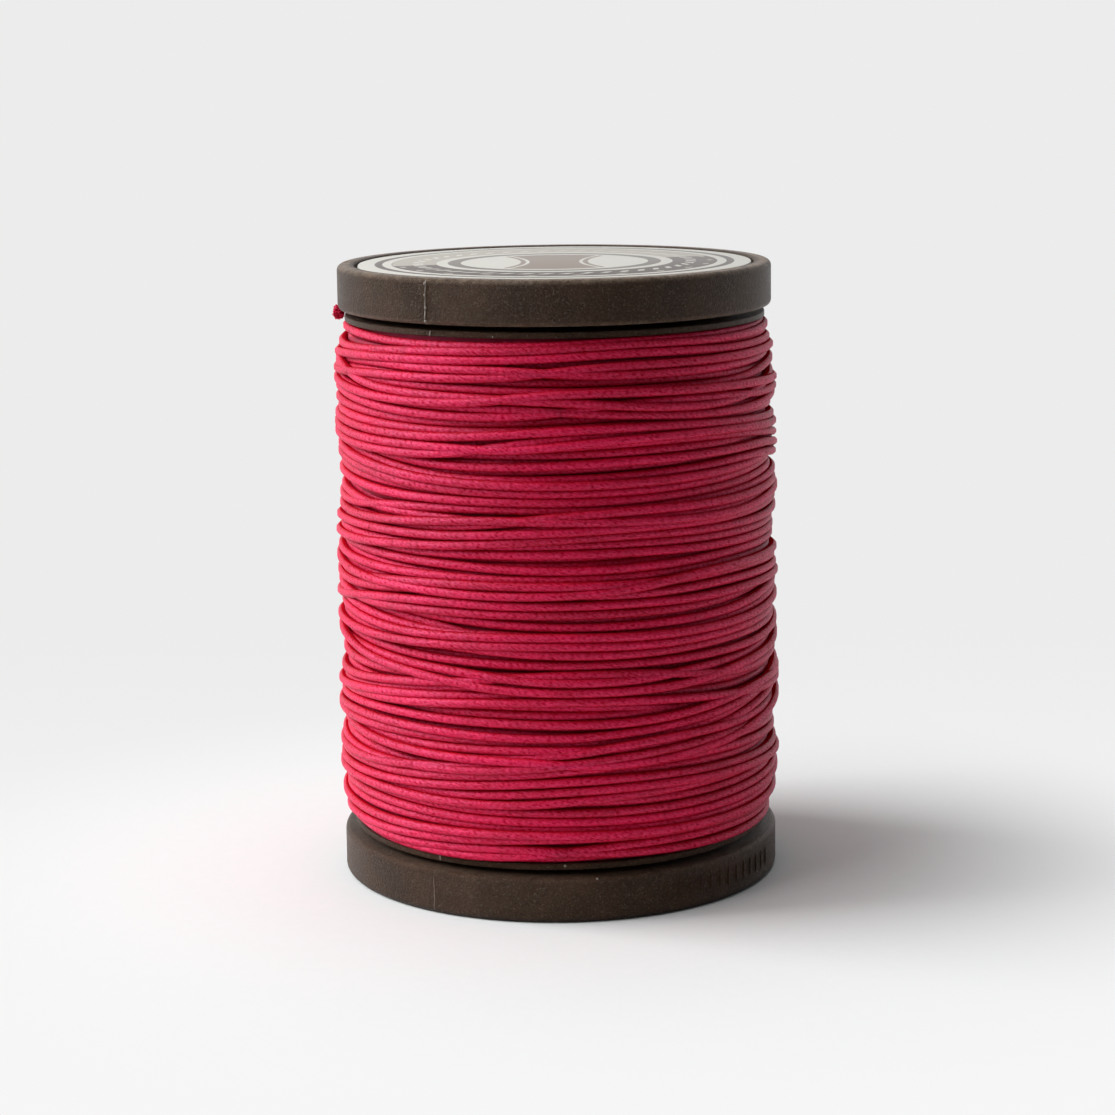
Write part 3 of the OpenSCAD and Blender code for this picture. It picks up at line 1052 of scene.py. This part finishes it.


# rings, and a band that is pale at the back and has slanting dashes and small lozenges
def printBand(tree, look, x, y, size, angle):
    color = addRamp(tree, size, [(at, look[key]) for at, key in look["rings"]], steps="CONSTANT")
    middle, half = look["band"]
    slope, start = look["paleFrom"]
    band = combine(tree, "LESS_THAN", addGap(tree, size, middle), half)
    back = combine(tree, "GREATER_THAN", combine(tree, "ADD", y, combine(tree, "MULTIPLY", x, slope)), start)
    color = addMix(tree, combine(tree, "MULTIPLY", band, back), color, look["paleTone"])
    dashes = look["dashes"]
    lean = combine(tree, "ADD", combine(tree, "MULTIPLY", angle, dashes["round"]),
                   combine(tree, "MULTIPLY", size, dashes["lean"]))
    dash = combine(tree, "GREATER_THAN", combine(tree, "SINE", lean), dashes["above"])
    middle, half = dashes["row"]
    row = combine(tree, "LESS_THAN", addGap(tree, size, middle), half)
    color = addMix(tree, combine(tree, "MULTIPLY", dash, row), color, look["paper"])
    lozenges = look["lozenges"]
    wave = combine(tree, "SINE", combine(tree, "MULTIPLY", angle, lozenges["round"]))
    gap = combine(tree, "MULTIPLY", addGap(tree, size, lozenges["row"]), lozenges["narrow"])
    lozenge = combine(tree, "ADD", combine(tree, "ABSOLUTE", wave), gap)
    lozenge = combine(tree, "LESS_THAN", lozenge, lozenges["size"])
    return addMix(tree, lozenge, color, look["paleTone"])


# a waisted bobbin in the middle, with a fine pale line round its waist
def printBobbin(tree, look, color, x, y, size):
    waist = combine(tree, "MULTIPLY_ADD", combine(tree, "MULTIPLY", y, y), *look["waist"])
    spread = combine(tree, "SUBTRACT", combine(tree, "ABSOLUTE", x), waist)
    bobbin = combine(tree, "MULTIPLY", combine(tree, "LESS_THAN", spread, 0.0),
                     combine(tree, "LESS_THAN", size, look["bobbinSize"]))
    color = addMix(tree, bobbin, color, look["bobbin"])
    middle, half = look["line"]
    line = combine(tree, "LESS_THAN", addGap(tree, spread, middle), half)
    return addMix(tree, combine(tree, "MULTIPLY", bobbin, line), color, look["paper"])


def labelFinish(look, card):
    material, tree, shader, place = newMaterial("labelPrint")
    middle = addNode(tree, "ShaderNodeVectorMath", operation="SUBTRACT")
    middle.inputs[1].default_value = (card["centre"], 0, 0)
    tree.links.new(place, middle.inputs[0])
    x, y = splitVector(tree, middle.outputs[0])[:2]
    x = combine(tree, "DIVIDE", x, card["radius"])
    y = combine(tree, "DIVIDE", y, card["radius"])
    square = combine(tree, "ADD", combine(tree, "MULTIPLY", x, x), combine(tree, "MULTIPLY", y, y))
    size = combine(tree, "SQRT", square)
    angle = combine(tree, "ARCTAN2", y, x)
    color = printBand(tree, look, x, y, size, angle)
    color = printBobbin(tree, look, color, x, y, size)
    tooth = addRamp(tree, addNoise(tree, place, *look["toothSpots"]), look["tooth"])
    color = addMix(tree, look["toothShare"], color, tooth, blend="MULTIPLY")
    tree.links.new(color, shader.inputs["Base Color"])
    addBump(tree, shader, addNoise(tree, place, *look["waves"]), look["waveRelief"])
    setShader(shader, look["shader"])
    return material


cordMaterial = cordFinish(cordLook, math.pi * cordLay["diameter"])
wearMaterial(cordWinding, cordMaterial)
wearMaterial(cordTail, cordMaterial)
wearMaterial(cordCore, mottledFinish(coreShadeLook))
plasticMaterial = plasticFinish(plasticLook)
wearMaterial(spoolBody, plasticMaterial)
wearMaterial(mouldTicks, plasticMaterial)
wearMaterial(mouldSeams, mottledFinish(flashAndHighlightLook))
joinTo(spoolBody, mouldTicks, mouldSeams)
wearMaterial(labelCard, labelFinish(labelLook, cardShape))
print("finishes made")

# floor, backdrop and lamps
stageLook = {
    "size": 3.0,
    "nearFar": (0.024, 0.064),      # metres from the spool, where the floor turns into backdrop
    "frontEnd": (-0.115, -0.064),   # where the floor's paper ends in front
    "floor": (0.857, 0.88, 0.88), "beyond": (0.22, 0.22, 0.22),
    "tooth": 0.985, "toothSpots": (900, 3, 0.6), "toothStops": (0.3, 0.7),
    "front": (0.925, 0.925, 0.925), "backdrop": (0.839, 0.839, 0.839),
    "plainBack": (-0.07, 0.10), "plainAway": (0.15, 0.4),   # where front turns into backdrop
    "mirroredBack": (0.0, 0.4),
    "shader": {"Roughness": 0.9, "Specular IOR Level": 0.1},
    "worldLight": 0.15,
}
lampLook = {
    "size": 0.6,
    "aim": (0, 0, 0.025),
    # place and watts
    "keyLamp": ((-0.845, 0.07, 0.62), 10.6),
    "topLamp": ((-0.05, 0.10, 0.80), 1.7),
    "fillLamp": ((-0.70, -0.36, 0.46), 3.2),
}


# one for a camera ray, and one for a glossy or transmission ray
def lookingRays(tree):
    ray = addNode(tree, "ShaderNodeLightPath").outputs
    mirrored = combine(tree, "ADD", ray["Is Glossy Ray"], ray["Is Transmission Ray"], clamp=True)
    return ray["Is Camera Ray"], mirrored


def fadeIn(tree, value, start, end):
    fade = addNode(tree, "ShaderNodeMapRange", interpolation_type="SMOOTHSTEP")
    fade.inputs["From Min"].default_value = start
    fade.inputs["From Max"].default_value = end
    tree.links.new(value, fade.inputs["Value"])
    return fade.outputs["Result"]


def mixShaders(tree, share, first, second, output):
    mix = addNode(tree, "ShaderNodeMixShader")
    for socket, value in zip(mix.inputs, (share, first, second)):
        tree.links.new(value, socket)
    tree.links.new(mix.outputs[0], tree.nodes[output].inputs["Surface"])


def makeFloor(look):
    bpy.ops.mesh.primitive_plane_add(size=look["size"], location=(0, 0, 0))
    floor = bpy.context.object
    floor.name = "floor"
    material, tree, shader, place = newMaterial("floorPaper")
    y = splitVector(tree, place)[1]
    length = addNode(tree, "ShaderNodeVectorMath", operation="LENGTH")
    tree.links.new(place, length.inputs[0])
    away = length.outputs["Value"]
    shade = tuple(look["tooth"] * c for c in look["floor"])
    stops = list(zip(look["toothStops"], (shade, look["floor"])))
    paper = addRamp(tree, addNoise(tree, place, *look["toothSpots"]), stops)
    ended = fadeIn(tree, y, *look["frontEnd"])
    tree.links.new(addMix(tree, ended, look["beyond"], paper), shader.inputs["Base Color"])
    setShader(shader, look["shader"])
    camera, mirrored = lookingRays(tree)
    seen = combine(tree, "MULTIPLY", camera, fadeIn(tree, away, *look["nearFar"]))
    mirrored = combine(tree, "MULTIPLY", mirrored, fadeIn(tree, y, *look["nearFar"]))
    plain = combine(tree, "MAXIMUM", fadeIn(tree, y, *look["plainBack"]),
                    fadeIn(tree, away, *look["plainAway"]))
    glow = addNode(tree, "ShaderNodeEmission")
    tree.links.new(addMix(tree, plain, look["front"], look["backdrop"]), glow.inputs["Color"])
    share = combine(tree, "ADD", seen, mirrored, clamp=True)
    mixShaders(tree, share, shader.outputs[0], glow.outputs[0], "Material Output")
    floor.data.materials.append(material)


def makeWorld(look):
    world = bpy.data.worlds.new("studio")
    bpy.context.scene.world = world
    world.use_nodes = True
    tree = world.node_tree
    light = tree.nodes["Background"]
    light.inputs["Color"].default_value = (1, 1, 1, 1)
    light.inputs["Strength"].default_value = look["worldLight"]
    back = addNode(tree, "ShaderNodeBackground")
    back.inputs["Color"].default_value = (*look["backdrop"], 1)
    direction = addNode(tree, "ShaderNodeTexCoord").outputs["Generated"]
    y = splitVector(tree, direction)[1]
    camera, mirrored = lookingRays(tree)
    mirrored = combine(tree, "MULTIPLY", mirrored, fadeIn(tree, y, *look["mirroredBack"]))
    share = combine(tree, "ADD", camera, mirrored, clamp=True)
    mixShaders(tree, share, light.outputs[0], back.outputs[0], "World Output")


def makeLamp(name, look):
    place, watts = look[name]
    data = bpy.data.lights.new(name, "AREA")
    data.shape = "RECTANGLE"
    data.size = data.size_y = look["size"]
    data.energy = watts
    lamp = bpy.data.objects.new(name, data)
    bpy.context.scene.collection.objects.link(lamp)
    lamp.location = place
    aim = Vector(look["aim"]) - Vector(place)
    lamp.rotation_euler = aim.to_track_quat("-Z", "Y").to_euler()


makeFloor(stageLook)
makeWorld(stageLook)
for name in ("keyLamp", "topLamp", "fillLamp"):
    makeLamp(name, lampLook)
bpy.context.scene.view_settings.view_transform = "Standard"
print("stage made")
